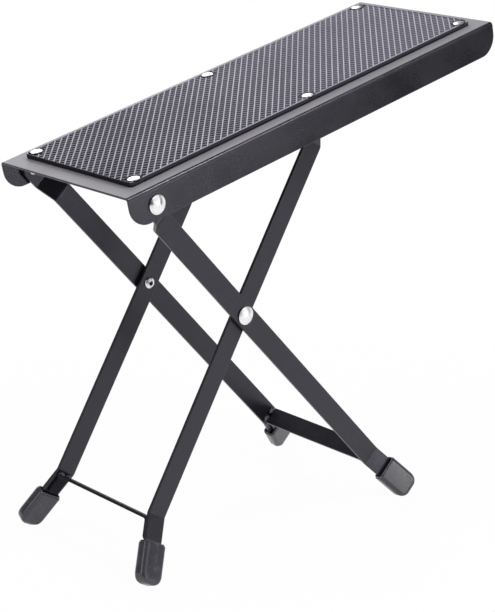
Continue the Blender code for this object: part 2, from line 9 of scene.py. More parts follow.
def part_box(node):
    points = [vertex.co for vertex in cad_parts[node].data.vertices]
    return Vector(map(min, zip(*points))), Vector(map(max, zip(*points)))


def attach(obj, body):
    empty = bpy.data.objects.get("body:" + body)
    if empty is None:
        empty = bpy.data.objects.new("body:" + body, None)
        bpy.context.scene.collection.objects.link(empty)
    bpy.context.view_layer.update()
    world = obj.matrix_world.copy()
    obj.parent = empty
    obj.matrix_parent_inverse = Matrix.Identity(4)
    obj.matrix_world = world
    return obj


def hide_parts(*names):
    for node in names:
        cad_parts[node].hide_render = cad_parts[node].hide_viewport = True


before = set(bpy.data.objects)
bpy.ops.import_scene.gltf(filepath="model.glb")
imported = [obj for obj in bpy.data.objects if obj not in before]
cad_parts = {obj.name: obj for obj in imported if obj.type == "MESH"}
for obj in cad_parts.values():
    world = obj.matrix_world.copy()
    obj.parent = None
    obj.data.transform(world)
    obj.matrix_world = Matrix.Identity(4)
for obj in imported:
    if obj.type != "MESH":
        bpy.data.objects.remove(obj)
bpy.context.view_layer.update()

# A folding guitar footrest at its steep notch: a pressed steel deck with a ribbed rubber mat on two
# crossed frames of flat steel straps, which stand on four rubber caps.  Metres, +Z up, the low front
# end of the deck towards -X, left towards -Y.  Each section below is one piece as it is put together.


# The pivots
# Three pins lie across the footrest: the deck pivot, the pair of cross rivets and the support rod.
# Each piece is shaped in its own body's axes, which run from one pin to the next.


def middle_of(node):
    """The middle of a node's box, brought to the footrest's own middle plane."""
    low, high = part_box(node)
    return np.array([(low.x + high.x) / 2, 0, (low.z + high.z) / 2])


deck_pin = middle_of("deck_pivot_washer_left")
cross_pin = middle_of("cross_washer_left")
rod_pin = middle_of("support_rod")


# Deck
# A channel pressed from 1.2 mm steel sheet: flat top, two deep flanges with large rounded lower
# corners, tight bends, and every cut edge eased.  Black textured powder coat all over; its flat top
# is painted paler as a painted sheen.

DECK_LENGTH = 0.2605
DECK_WIDTH = 0.101
DECK_SHEET = 0.0012
DECK_BEND = 0.0006
DECK_EASE = 0.0003
DECK_STATIONS = 40
DECK_CORNER_STEPS = 17
FLANGE_HEIGHT = 0.0167
FLANGE_CORNER = 0.0105
PIVOT_FROM_FRONT = 0.0158
PIVOT_BELOW_TOP = 0.0091
TINY = 1e-9
STATION_GAP = 1e-5
SEAM_GAP = 2e-6
SHARP_FROM = math.radians(40)
STEEL_COAT = (0.0090, 0.0085, 0.0112)
WORN_COAT = (0.033, 0.032, 0.038)
# Paler colour painted on the deck's flat top as a painted sheen.
TOP_SHEEN_COAT = (0.262, 0.254, 0.274)
COAT_TINT = (0.87, 0.84, 1.0)
# Roughness added where that painted sheen lies, and where it fades in over the bend.
TOP_SHEEN_ROUGHNESS = 0.34
TOP_SHEEN_FADE_SHARES = (0.12, 0.02)
PEEL_SIZE = 0.0011
PEEL_DEPTH = 0.00003
CLOUD_SIZE = 0.030
RUBBED_SIZE = 0.006
RUBBED_SPAN = (0.56, 0.80)
NOISE_SPAN = (0.3, 0.7)
RUBBED_WEAR = 0.6
CLOUD_WEAR = 0.25
CLOUD_IN_GLOSS = 0.6
COAT_SMOOTHER = 0.06
COAT_ROUGHER = 0.08
# How much cloudiness breaks up the painted sheen.
TOP_SHEEN_CLOUD = 0.4


def axes_from(start, end):
    """Three rows: along from one pin to another, across (+Y), and square to both."""
    along = (end - start) / np.linalg.norm(end - start)
    return np.array([along, [0, 1, 0], [-along[2], 0, along[0]]])


def placed(own, place):
    """Points in a body's own axes brought to the footrest's: origin + own @ axes."""
    origin, axes = place
    return origin + own @ axes


deck_place = (deck_pin, axes_from(deck_pin, rod_pin))


def bent_line(corners, radius, steps=6):
    """Distance, x, y and heading along straight runs joined by arcs.

    An arc for a turn a begins radius * tan(a / 2) before its corner; at the heading h its point is
    the centre less radius * (-sin h, cos h), on the side of the turn.
    """
    corners = np.array(corners, float)
    runs = np.diff(corners, axis=0)
    headings = np.unwrap(np.arctan2(runs[:, 1], runs[:, 0]))
    x, y, heading = [corners[0][0]], [corners[0][1]], [headings[0]]
    for corner, before, after in zip(corners[1:], headings, headings[1:]):
        turn = after - before
        side = np.sign(turn)
        back = radius * math.tan(abs(turn) / 2)
        start = corner - back * np.array([math.cos(before), math.sin(before)])
        centre = start + side * radius * np.array([-math.sin(before), math.cos(before)])
        h = before + turn * np.linspace(0, 1, steps + 1)
        x.extend(centre[0] + side * radius * np.sin(h))
        y.extend(centre[1] - side * radius * np.cos(h))
        heading.extend(h)
    x.append(corners[-1][0])
    y.append(corners[-1][1])
    heading.append(headings[-1])
    x, y, heading = np.array(x), np.array(y), np.array(heading)
    chord = np.hypot(np.diff(x), np.diff(y))
    half_turn = np.abs(np.diff(heading)) / 2
    arc = chord * np.where(half_turn > 0, half_turn / np.sin(np.maximum(half_turn, TINY)), 1)
    return np.concatenate([[0], np.cumsum(arc)]), x, y, heading


def follow(line, distance, lift):
    """The points at a distance along a bent line, lifted off it: place + lift * (-sin h, cos h)."""
    along, x, y, heading = line
    h = np.interp(distance, along, heading)
    at_x = np.interp(distance, along, x) - lift * np.sin(h)
    at_y = np.interp(distance, along, y) + lift * np.cos(h)
    return at_x, at_y


def plate(length, half, thick, ease, rounds, stations, columns=(), corner_steps=13):
    """A flat plate with all its edges eased, as patches of (along, across, up).

    With a from 0 to 90 degrees the eased edge is inset by ease * (1 - sin a) at the height
    thick / 2 - ease * (1 - cos a).  A corner of radius R at the angle b lies at
    R - (R - inset) * cos b from the end and at half - R + (R - inset) * sin b across.
    """
    a = np.linspace(0, np.pi / 2, 5)
    inset = np.concatenate([ease * (1 - np.sin(a)), ease * (1 - np.sin(a[::-1]))])
    up = np.concatenate([thick / 2 - ease * (1 - np.cos(a)), ease * (1 - np.cos(a[::-1])) - thick / 2])
    b = np.linspace(0, np.pi / 2, corner_steps)
    one = np.ones(corner_steps)
    first, last = rounds
    inner = np.array([s for s in stations if first + STATION_GAP < s < length - last - STATION_GAP])
    centre = np.concatenate([first * one, inner, (length - last) * one])
    reach = np.concatenate([-np.cos(b), 0 * inner, np.cos(b[::-1])])
    swell = np.concatenate([np.sin(b), 1 + 0 * inner, np.sin(b[::-1])])
    radius = np.concatenate([first * one, ease + 0 * inner, last * one])[:, None]
    along = centre[:, None] + reach[:, None] * (radius - inset)
    across = half - radius + swell[:, None] * (radius - inset)
    up = up + 0 * along
    columns = np.array(sorted(columns))
    flat = 0 * along[:, :1] + 0 * columns
    lower = np.stack([along[:, -1:] + flat, columns[::-1] + flat, flat - thick / 2], -1)
    upper = np.stack([along[:, :1] + flat, columns + flat, flat + thick / 2], -1)
    right = np.stack([along, across, up], -1)
    left = np.stack([along, -across, up], -1)[:, ::-1]
    ring = np.concatenate([right, lower, left, upper, right[:, :1]], axis=1)
    ends = []
    for edge, corner in ((inset, first), (length - inset, last)):
        span = np.concatenate([[half - corner], columns[::-1], [corner - half]])
        flat = 0 * inset[:, None] + 0 * span
        ends.append(np.stack([edge[:, None] + flat, span + flat, up[0][:, None] + flat], -1))
    return [ring] + ends


def grid_faces(rows, columns, start=0):
    """The quads between neighbours in a grid of points, whose numbers begin at start."""
    index = start + np.arange(rows * columns).reshape(rows, columns)
    corners = (index[:-1, :-1], index[:-1, 1:], index[1:, 1:], index[1:, :-1])
    return np.stack(corners, -1).reshape(-1, 4)


def close_seams(mesh):
    """Points at one place become one, and the faces are turned outwards."""
    shape = bmesh.new()
    shape.from_mesh(mesh)
    bmesh.ops.remove_doubles(shape, verts=shape.verts, dist=SEAM_GAP)
    bmesh.ops.recalc_face_normals(shape, faces=shape.faces)
    shape.to_mesh(mesh)
    shape.free()


def settle(name, mesh, body, finish, slot, *nodes, sharp_from=SHARP_FROM):
    """A mesh made a piece that rides on a body and stands for its nodes.

    It is smooth but for its sharp edges, and its flat faces stay flat.
    """
    mesh.shade_smooth()
    mesh.set_sharp_from_angle(angle=sharp_from)
    mesh.materials.append(finish)
    piece = bpy.data.objects.new(name, mesh)
    bpy.context.scene.collection.objects.link(piece)
    flats = piece.modifiers.new("flat_faces", "WEIGHTED_NORMAL")
    flats.keep_sharp = True
    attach(piece, body)
    if nodes:
        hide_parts(*nodes)


def weld(name, patches, body, finish, slot, *nodes):
    """One closed piece from patches, each a grid of points; seams and poles that meet become one."""
    points = np.concatenate([patch.reshape(-1, 3) for patch in patches])
    faces, start = [], 0
    for patch in patches:
        rows, columns = patch.shape[:2]
        faces.append(grid_faces(rows, columns, start))
        start += rows * columns
    mesh = bpy.data.meshes.new(name)
    mesh.from_pydata(points.tolist(), [], np.concatenate(faces).tolist())
    close_seams(mesh)
    settle(name, mesh, body, finish, slot, *nodes)


class Wire:
    """One output of a finish's nodes.  Arithmetic on it adds Math nodes."""

    def __init__(self, finish, socket):
        self.finish = finish
        self.socket = socket

    def maths(self, operation, first, second):
        """A Math node on two wires or numbers, in their order."""
        return self.finish.node("ShaderNodeMath", {"operation": operation}, {0: first, 1: second})

    def __add__(self, other):
        return self.maths("ADD", self, other)

    def __sub__(self, other):
        return self.maths("SUBTRACT", self, other)

    def __rsub__(self, other):
        return self.maths("SUBTRACT", other, self)

    def __mul__(self, other):
        return self.maths("MULTIPLY", self, other)

    __radd__ = __add__
    __rmul__ = __mul__


class Finish:
    """A material on one Principled shader, with its pattern in the piece's own coordinates."""

    def __init__(self, name, **sockets):
        self.material = bpy.data.materials.new(name)
        self.material.use_nodes = True
        self.tree = self.material.node_tree
        self.shader = self.tree.nodes["Principled BSDF"]
        self.place = self.node("ShaderNodeTexCoord", out="Object")
        self.set(**sockets)

    def feed(self, socket, value):
        """A socket is linked to a wire, and takes anything else as its value."""
        if isinstance(value, Wire):
            self.tree.links.new(value.socket, socket)
        else:
            socket.default_value = value

    def set(self, **sockets):
        """The shader's own sockets take values or wires; a name's spaces are written as _."""
        for socket, value in sockets.items():
            self.feed(self.shader.inputs[socket.replace("_", " ")], value)

    def node(self, kind, settings=(), sockets=(), out=0):
        """Any node: its settings are set first, then its sockets take values or wires."""
        made = self.tree.nodes.new(kind)
        for setting, value in dict(settings).items():
            setattr(made, setting, value)
        for socket, value in dict(sockets).items():
            self.feed(made.inputs[socket], value)
        return Wire(self, made.outputs[out])

    def noise(self, size, detail=2.0, roughness=0.5):
        """Cloudy noise from 0 to 1 whose lumps are about this size."""
        sockets = {"Vector": self.place, "Scale": 1 / size, "Detail": detail, "Roughness": roughness}
        return self.node("ShaderNodeTexNoise", (), sockets)

    def along(self, heading):
        """How far along a heading a place lies: their dot product."""
        sockets = {0: self.place, 1: [float(part) for part in heading]}
        return self.node("ShaderNodeVectorMath", {"operation": "DOT_PRODUCT"}, sockets, out="Value")

    def between(self, value, low, high, new_low=0.0, new_high=1.0):
        """A value carried smoothly from one range to another."""
        sockets = {"Value": value, "From Min": low, "From Max": high, "To Min": new_low, "To Max": new_high}
        return self.node("ShaderNodeMapRange", {"interpolation_type": "SMOOTHSTEP"}, sockets)

    def blend(self, share, first, second):
        """A colour between two others, each three numbers or a wire."""
        sockets = {"Factor": share, 6: colour(first), 7: colour(second)}
        return self.node("ShaderNodeMix", {"data_type": "RGBA"}, sockets, out=2)

    def relief(self, height, depth, strength=0.4):
        """A bumped normal, for a height from 0 to 1 that stands this deep."""
        sockets = {"Height": height, "Distance": depth, "Strength": strength}
        return self.node("ShaderNodeBump", (), sockets)


def colour(tone):
    """Red, green and blue with the opacity that a colour socket needs; a wire stays as it is."""
    return tone if isinstance(tone, Wire) else (*tone, 1.0)


def powder_coat(name, base, worn, roughness, gloss, painted_sheen=False):
    """Black powder coat: fine orange peel, faint cloudiness and a few rubbed places.

    On the deck the flat top can be painted paler, a painted sheen, and made rougher.
    """
    coat = Finish(name, Metallic=0.0, IOR=gloss, Specular_Tint=colour(COAT_TINT))
    peel = coat.noise(PEEL_SIZE, detail=3.0, roughness=0.6)
    cloud = coat.noise(CLOUD_SIZE, detail=3.0)
    rubbed = coat.between(coat.noise(RUBBED_SIZE, detail=4.0, roughness=0.7), *RUBBED_SPAN)
    tone = coat.blend(rubbed * RUBBED_WEAR + cloud * CLOUD_WEAR, base, worn)
    mottle = cloud * CLOUD_IN_GLOSS + peel * (1 - CLOUD_IN_GLOSS)
    rough = coat.between(mottle, *NOISE_SPAN, roughness - COAT_SMOOTHER, roughness + COAT_ROUGHER)
    if painted_sheen:
        # The flat top is painted paler and made rougher here: a painted sheen.
        origin, axes = deck_place
        top = float(origin @ axes[2]) + PIVOT_BELOW_TOP
        pale_share = coat.between(coat.along(axes[2]), *(top - share * DECK_BEND for share in TOP_SHEEN_FADE_SHARES))
        tone = coat.blend(pale_share * (cloud * TOP_SHEEN_CLOUD + (1 - TOP_SHEEN_CLOUD / 2)), tone, TOP_SHEEN_COAT)
        rough = rough + pale_share * TOP_SHEEN_ROUGHNESS
    coat.set(Base_Color=tone, Roughness=rough, Normal=coat.relief(peel, PEEL_DEPTH))
    return coat.material


def deck_channel():
    """The channel's patches: a flat blank of sheet carried along its bent cross section."""
    top = PIVOT_BELOW_TOP - DECK_SHEET / 2
    side = (DECK_WIDTH - DECK_SHEET) / 2
    foot = PIVOT_BELOW_TOP - FLANGE_HEIGHT
    section = bent_line([(-side, foot), (-side, top), (side, top), (side, foot)], DECK_BEND + DECK_SHEET / 2)
    girth = section[0][-1]
    stations = np.linspace(0, DECK_LENGTH, DECK_STATIONS)
    columns = section[0][1:-1] - girth / 2
    rounds = (FLANGE_CORNER, FLANGE_CORNER)
    blank = (DECK_LENGTH, girth / 2, DECK_SHEET, DECK_EASE)
    patches = []
    for patch in plate(*blank, rounds, stations, columns, DECK_CORNER_STEPS):
        across, lift = follow(section, patch[..., 1] + girth / 2, patch[..., 2])
        own = np.stack([patch[..., 0] - PIVOT_FROM_FRONT, across, lift], -1)
        patches.append(placed(own, deck_place))
    return patches


deck_coat = powder_coat("deck_powder_coat", STEEL_COAT, WORN_COAT, roughness=0.27, gloss=1.57, painted_sheen=True)
weld("deck_channel", deck_channel(), "deck_body", deck_coat, "black_powder_coat", "deck")


# Mat
# A moulded rubber mat, 2.2 mm thick, cut to leave a margin of bare steel all round.  Its tread is a
# square grid of thin ridges at 45 degrees to the deck, pressed down under the six rivets.  A thin
# raised rim and walls run along both long edges; the ends are cut straight.  Light and shade are
# painted on the rubber: painted highlights on the ridge tops and along the long edges' rim, a
# painted sheen in the valleys towards the rear, painted light greying the long walls, and painted
# black shade on the ends, the walls' foot and a ring round each rivet.

MAT_THICK = 0.0022
MAT_FRONT_MARGIN = 0.0095
MAT_REAR_MARGIN = 0.0087
MAT_SIDE_MARGIN = 0.0087
MAT_LENGTH = DECK_LENGTH - MAT_FRONT_MARGIN - MAT_REAR_MARGIN
MAT_WIDTH = DECK_WIDTH - 2 * MAT_SIDE_MARGIN
MAT_CORNER = 0.0018
MAT_GAP = 0.0003
MAT_SHARP_FROM = math.radians(20)
TREAD_PITCH = 0.00307
MAIN_RIDGE = 0.00060
CROSS_RIDGE = 0.00045
RIDGE_TOP_SHARE = 0.078
RIDGE_FOOT_SHARE = 0.150
RIVET_INSET = 0.0049
RIVET_SIDE_INSET = 0.0034
# The ring round each rivet, pressed down and painted black as a painted shade, and the dish where it fades
# out.
RIVET_RING = 0.0038
RIVET_DISH = 0.0044
RIVET_PRESS = 0.00015
RIM_WIDTH = 0.0008
RIM_END = 0.0001
RIM_RISE = 0.00005
# Heights of the wall's rings as shares of the rim's; the lowest rings are painted black as a painted contact
# shadow.
WALL_SHARES = (0.93, 0.30, 0.24)
NO_AREA = 1e-11
# Paleness of the painted black shade and of the long walls' painted grey light.
BLACK_PALENESS = -1.0
WALL_PALENESS = -0.50
# How pale the cross ridges are painted, less than the main ridges' painted highlight.
CROSS_PALENESS = 0.62
# How pale the rim is painted along the long edges, a painted highlight.
RIM_PALENESS = 0.80
# Black painted at the walls' foot, on the ends and round the rivets as painted shade.
MAT_BLACK = (0.012, 0.011, 0.014)
# Grey painted on the long walls as painted light.
MAT_WALL = (0.055, 0.052, 0.066)
MAT_VALLEY = (0.005, 0.004, 0.007)
# The valleys' colour at the rear, painted paler as a painted sheen.
MAT_REAR_SHEEN = (0.112, 0.107, 0.135)
# Pale colour painted on the ridge tops as a painted highlight.
MAT_RIDGE = (0.540, 0.517, 0.632)
MAT_ROUGHNESS = (0.50, 0.62)
MAT_GRAIN_SIZE = 0.0007
MAT_GRAIN_DEPTH = 0.00005
MAT_CLOUD_SIZE = 0.040

deck_middle = DECK_LENGTH / 2 - PIVOT_FROM_FRONT
mat_seat = PIVOT_BELOW_TOP + MAT_GAP
mat_middle = deck_middle + (MAT_FRONT_MARGIN - MAT_REAR_MARGIN) / 2
tread_half = np.array([MAT_LENGTH / 2 - RIM_END, MAT_WIDTH / 2 - RIM_WIDTH])
rivet_x = MAT_LENGTH / 2 - RIVET_INSET
rivet_y = MAT_WIDTH / 2 - RIVET_SIDE_INSET
rivet_spots = [(x, y) for x in (-rivet_x, 0, rivet_x) for y in (-rivet_y, rivet_y)]


def ridge(distance):
    """1 on a ridge's narrow top and 0 in the valley, with steep flanks, once every pitch.

    With the phase counted in pitches from a ridge's middle, it is (foot - phase) / (foot - top),
    kept within 0 to 1.
    """
    phase = np.abs((distance / TREAD_PITCH + 0.5) % 1 - 0.5)
    return np.clip((RIDGE_FOOT_SHARE - phase) / (RIDGE_FOOT_SHARE - RIDGE_TOP_SHARE), 0, 1)


def free_of_rivets(along, across):
    """0 in the ring that each rivet presses into the rubber, rising to 1 outside its dish.

    It is (distance to the nearest rivet - ring) / (dish - ring), kept within 0 to 1.
    """
    near = np.min([np.hypot(along - x, across - y) for x, y in rivet_spots], axis=0)
    return np.clip((near - RIVET_RING) / (RIVET_DISH - RIVET_RING), 0, 1)


def tread_grid():
    """The mat's top as points (along, across, up), their paleness, and what lies in the outline.

    up = the valley's height + the higher of the two ridges there, less the press of the rivets.
    What lies past a rounded corner is pulled in to it: core + (place - core) * corner / distance.
    """
    count = int((MAT_LENGTH + MAT_WIDTH) / math.sqrt(8) / TREAD_PITCH) + 1
    steps = np.array([RIDGE_TOP_SHARE, RIDGE_FOOT_SHARE, 0.5, 1 - RIDGE_FOOT_SHARE, 1 - RIDGE_TOP_SHARE])
    lines = ((np.arange(-count, count)[:, None] + steps) * TREAD_PITCH).ravel()
    first, second = np.meshgrid(lines, lines, indexing="ij")
    along = (first - second) / math.sqrt(2)
    across = (first + second) / math.sqrt(2)
    # free also paints the ring round each rivet black in the paleness below: a painted shade.
    free = free_of_rivets(along, across)
    height = np.maximum(MAIN_RIDGE * ridge(second), CROSS_RIDGE * ridge(first))
    up = MAT_THICK - MAIN_RIDGE + height * free - RIVET_PRESS * (1 - free)
    # Paleness paints the ridge tops pale: a painted highlight.
    paleness = np.maximum(ridge(second), CROSS_PALENESS * ridge(first)) * free + free - 1
    core_x = np.clip(along, MAT_CORNER - tread_half[0], tread_half[0] - MAT_CORNER)
    core_y = np.clip(across, MAT_CORNER - tread_half[1], tread_half[1] - MAT_CORNER)
    off = np.hypot(along - core_x, across - core_y)
    pull = np.minimum(1, MAT_CORNER / np.maximum(off, TINY))
    along = core_x + (along - core_x) * pull
    across = core_y + (across - core_y) * pull
    return np.stack([along, across, up], -1), paleness, off < MAT_CORNER


def trimmed(grid, paleness, within):
    """The quads that have an area and a corner in the outline, with the points that they use.

    Twice a quad's area is the cross product of its diagonals.
    """
    quads = grid_faces(*grid.shape[:2])
    points = grid.reshape(-1, 3)
    corners = points[quads][..., :2]
    one, two = corners[:, 2] - corners[:, 0], corners[:, 3] - corners[:, 1]
    twice_area = np.abs(one[:, 0] * two[:, 1] - one[:, 1] * two[:, 0])
    quads = quads[(twice_area > NO_AREA) & within.ravel()[quads].any(1)]
    used, quads = np.unique(quads, return_inverse=True)
    return points[used], paleness.ravel()[used], quads.reshape(-1, 4)


def open_edges(quads):
    """The edges that only one quad has, each in the direction that its quad runs along it."""
    edges = np.concatenate([quads[:, [0, 1]], quads[:, [1, 2]], quads[:, [2, 3]], quads[:, [3, 0]]])
    place, uses = np.unique(np.sort(edges, 1), axis=0, return_index=True, return_counts=True)[1:]
    return edges[place[uses == 1]]


def mat_rings(edge):
    """Rings of (place, up, paleness) from the tread's edge over the rim and down the walls.

    The rim's place is the edge's, stretched to the mat's outline.  Each lower ring is a share of
    the rim's height, which dips with the rubber beside a rivet.
    """
    outside = edge * [MAT_LENGTH, MAT_WIDTH] / tread_half / 2
    free = free_of_rivets(*outside.T)
    top = (MAT_THICK + RIM_RISE - (MAIN_RIDGE + RIVET_PRESS) * (1 - free))[:, None]
    # Along the long edges the rim is painted pale, a painted highlight, and the walls grey, painted light;
    # the ends, the walls' foot and the rim beside a rivet are painted black as painted shade.
    long_side = (np.abs(edge[:, 1]) > tread_half[1] - MAT_CORNER / 2).astype(float)
    black = BLACK_PALENESS + 0 * long_side
    rim = BLACK_PALENESS + (RIM_PALENESS - BLACK_PALENESS) * long_side * free
    wall = BLACK_PALENESS + (WALL_PALENESS - BLACK_PALENESS) * long_side
    rings = [(edge, top, rim), (outside, top, rim)]
    rings += [(outside, share * top, tone) for share, tone in zip(WALL_SHARES, (wall, wall, black))]
    return rings + [(outside, 0 * top, black)]


def tread_mat():
    """The tread, with the rim and walls hung on its open edges and a fan of faces underneath."""
    points, paleness, quads = trimmed(*tread_grid())
    upper = open_edges(quads)
    rim, index = np.unique(upper, return_inverse=True)
    rings = mat_rings(points[rim][:, :2])
    lower = len(points) + index.reshape(-1, 2)
    faces = quads.tolist()
    for _ in rings:
        faces += np.column_stack([upper[:, 1], upper[:, 0], lower[:, 0], lower[:, 1]]).tolist()
        upper, lower = lower, lower + len(rim)
    centre = np.full(len(upper), len(points) + len(rings) * len(rim))
    faces += np.column_stack([upper[:, 1], upper[:, 0], centre]).tolist()
    own = np.concatenate([points, *[np.hstack([flat, up]) for flat, up, _ in rings], [[0, 0, 0]]])
    paleness = np.concatenate([paleness, *[tone for _, _, tone in rings], [0]])
    mesh = bpy.data.meshes.new("tread_mat")
    mesh.from_pydata(placed(own + [mat_middle, 0, mat_seat], deck_place).tolist(), [], faces)
    mesh.attributes.new("ridge", "FLOAT", "POINT").data.foreach_set("value", paleness.astype(np.float32))
    close_seams(mesh)
    return mesh


def mat_rubber():
    """Matt black rubber, its ridge tops painted pale as a painted highlight and its valleys painted paler
    towards the rear as a painted sheen.

    The mesh's ridge attribute says how pale a place is: -1 black, then the walls, 0 the valleys,
    and 1 the tops of the ridges.
    """
    rubber = Finish("mat_rubber", Metallic=0.0, IOR=1.26)
    origin, axes = deck_place
    middle = float(origin @ axes[0]) + mat_middle
    paleness = rubber.node("ShaderNodeAttribute", {"attribute_name": "ridge"}, out="Fac")
    grain = rubber.noise(MAT_GRAIN_SIZE, detail=3.0, roughness=0.7)
    cloud = rubber.noise(MAT_CLOUD_SIZE)
    # The valleys are painted paler towards the rear: a painted sheen.
    painted_sheen = rubber.between(rubber.along(axes[0]), middle - MAT_LENGTH / 2, middle + MAT_LENGTH / 2)
    valley = rubber.blend(painted_sheen, MAT_VALLEY, MAT_REAR_SHEEN)
    # The ridge tops are painted pale: a painted highlight.
    tread = rubber.blend(paleness * (0.5 + 0.5 * cloud), valley, MAT_RIDGE)
    # The walls are painted black as painted shade, and grey along the long edges as painted light.
    wall = rubber.blend(rubber.between(paleness, BLACK_PALENESS, WALL_PALENESS), MAT_BLACK, MAT_WALL)
    rubber.set(
        Base_Color=rubber.blend(rubber.between(paleness, WALL_PALENESS, 0.0), wall, tread),
        Roughness=rubber.between(grain, *NOISE_SPAN, *MAT_ROUGHNESS),
        Normal=rubber.relief(grain, MAT_GRAIN_DEPTH, strength=0.5),
    )
    return rubber.material


settle("tread_mat", tread_mat(), "deck_body", mat_rubber(), "mat_rubber", "mat", sharp_from=MAT_SHARP_FROM)


# Mat rivets
# Six bright steel rivets hold the mat down along its two long edges.  Each has a low flat dome,
# pressed a little into the rubber, and a tail rolled over below the deck.

MAT_HEAD = (0.0029, 0.0007)
MAT_BRIM = 0.00038
MAT_SHANK = 0.0013
MAT_TAIL = (0.0024, 0.0008, 0.0007)
HEAD_UNDERSIDE_SHARE = 0.97
PLAY = 0.0003
BRIGHT_STEEL = (0.92, 0.92, 0.93)
DULL_STEEL = (0.74, 0.74, 0.76)
DULL_SIZE = 0.0016
DULL_SPAN = (0.45, 0.75)
DULL_ROUGHNESS = 0.14
TURNING_SIZE = 0.0008
TURNING_DEPTH = 0.00004


def rivet_profile(head, brim, shank, grip, tail, steps=10):
    """(radius, y) from the top of a low dome with an eased rim down to its rolled tail.

    The dome is an arc of the sphere of radius (r * r + h * h) / 2h, for a head of radius r and
    rise h; the tail is a ring whose height follows the sine of half its sweep.
    """
    r, h = head
    rise = h - brim
    sphere = (r * r + rise * rise) / (2 * rise)
    sweep = math.asin(r / sphere) * np.linspace(0, 1, steps + 1)
    dome = np.stack([sphere * np.sin(sweep), sphere - h - sphere * np.cos(sweep)], -1)
    neck = np.array([[r, -brim / 2], [HEAD_UNDERSIDE_SHARE * r, 0], [shank, 0], [shank, grip]])
    tail_radius, tail_thick, hollow = tail
    turn = np.pi * np.linspace(0, 1, steps + 1)
    roll_radius = (tail_radius + hollow) / 2 + (tail_radius - hollow) / 2 * np.cos(turn)
    roll = np.stack([roll_radius, grip + tail_thick * np.sin(turn / 2)], -1)
    bore = [[hollow, grip - tail_thick], [0, grip - tail_thick - hollow / 2]]
    return np.concatenate([dome, neck, roll, bore])


def turned(profile, steps=64):
    """(radius, y) turned about the Y axis: radius * (cos t, 0, sin t) + (0, y, 0)."""
    t = np.linspace(0, 2 * np.pi, steps + 1)
    radius, y = profile[:, :1], profile[:, 1:]
    return np.stack([radius * np.cos(t), y + 0 * t, radius * np.sin(t)], -1)


def bright_steel(name, roughness):
    """Nickel-bright steel with faint turning marks and small dull patches."""
    steel = Finish(name, Metallic=1.0)
    dull = steel.between(steel.noise(DULL_SIZE, detail=4.0, roughness=0.6), *DULL_SPAN)
    steel.set(
        Base_Color=steel.blend(dull, BRIGHT_STEEL, DULL_STEEL),
        Roughness=steel.between(dull, 0.0, 1.0, roughness, roughness + DULL_ROUGHNESS),
        Normal=steel.relief(steel.noise(TURNING_SIZE), TURNING_DEPTH),
    )
    return steel.material


rivet_steel = bright_steel("rivet_steel", roughness=0.30)
head_seat = mat_seat + MAT_THICK - MAIN_RIDGE - RIVET_PRESS + PLAY
mat_grip = head_seat - PIVOT_BELOW_TOP + DECK_SHEET + MAT_GAP
for number, (x, y) in enumerate(rivet_spots, 1):
    points = turned(rivet_profile(MAT_HEAD, MAT_BRIM, MAT_SHANK, mat_grip, MAT_TAIL))
    upright = np.stack([points[..., 0], points[..., 2], -points[..., 1]], -1)
    patches = [placed(upright + [mat_middle + x, y, head_seat], deck_place)]
    weld(f"mat_stud_{number}", patches, "deck_body", rivet_steel, "bright_steel", f"mat_rivet_{number}")


# Height rack
# A shallow notched channel of 1 mm sheet, spot-welded under the deck; the rod of the inner frame
# catches in one of its five notches.  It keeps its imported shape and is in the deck's coat.


def refinish(node, finish):
    """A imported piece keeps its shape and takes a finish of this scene's."""
    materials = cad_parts[node].data.materials
    materials.clear()
    materials.append(finish)


refinish("height_rack", deck_coat)


# Deck pivots
# A domed steel rivet through each flange, a thin washer and the outer leg's tab, rolled over on
# the inside, lets the deck turn on the outer frame.

PIVOT_HEAD = (0.0048, 0.0017)
PIVOT_BRIM = 0.00045
PIVOT_SHANK = 0.0023
PIVOT_TAIL = (0.0031, 0.0013, 0.0013)
STRAP_THICK = 0.0018
WASHER_THICK = 0.0005
SIDES = {"left": -1, "right": 1}


def side_rivets(name, node, pin, outside, grip, finish, body):
    """A rivet and its washer on each side; the heads stand on the faces at outside + play."""
    for hand, sign in SIDES.items():
        points = turned(rivet_profile(PIVOT_HEAD, PIVOT_BRIM, PIVOT_SHANK, grip, PIVOT_TAIL))
        points[..., 1] = sign * (outside + PLAY - points[..., 1])
        weld(f"{name}_{hand}", [pin + points], body, finish, "bright_steel", f"{node}_rivet_{hand}")
        refinish(f"{node}_washer_{hand}", finish)


pivot_steel = bright_steel("pivot_steel", roughness=0.22)
pivot_grip = DECK_SHEET + WASHER_THICK + STRAP_THICK + 4 * PLAY
side_rivets("deck_pin", "deck_pivot", deck_pin, DECK_WIDTH / 2, pivot_grip, pivot_steel, "deck_body")


# Outer legs
# Two flat steel straps with a rounded top end.  Each is joggled inwards below its rivet, runs
# straight down past the cross rivet and is bent outwards into a foot.

STRAP_WIDTH = 0.0117
STRAP_BEND = 0.0020
STRAP_EASE = 0.00032
JOGGLE_START = 0.0087
JOGGLE_RUN = 0.0085
JOGGLE_DEPTH = 0.0077
OUTER_BEND_REACH = 0.2357
OUTER_FLARE = 0.0013
OUTER_SPLAY = math.radians(20)
OUTER_FOOT_LENGTH = 0.0325
CAP_FLOOR = 0.0060
LEG_COAT = (0.0130, 0.0122, 0.0162)
LEG_WORN = (0.033, 0.032, 0.039)

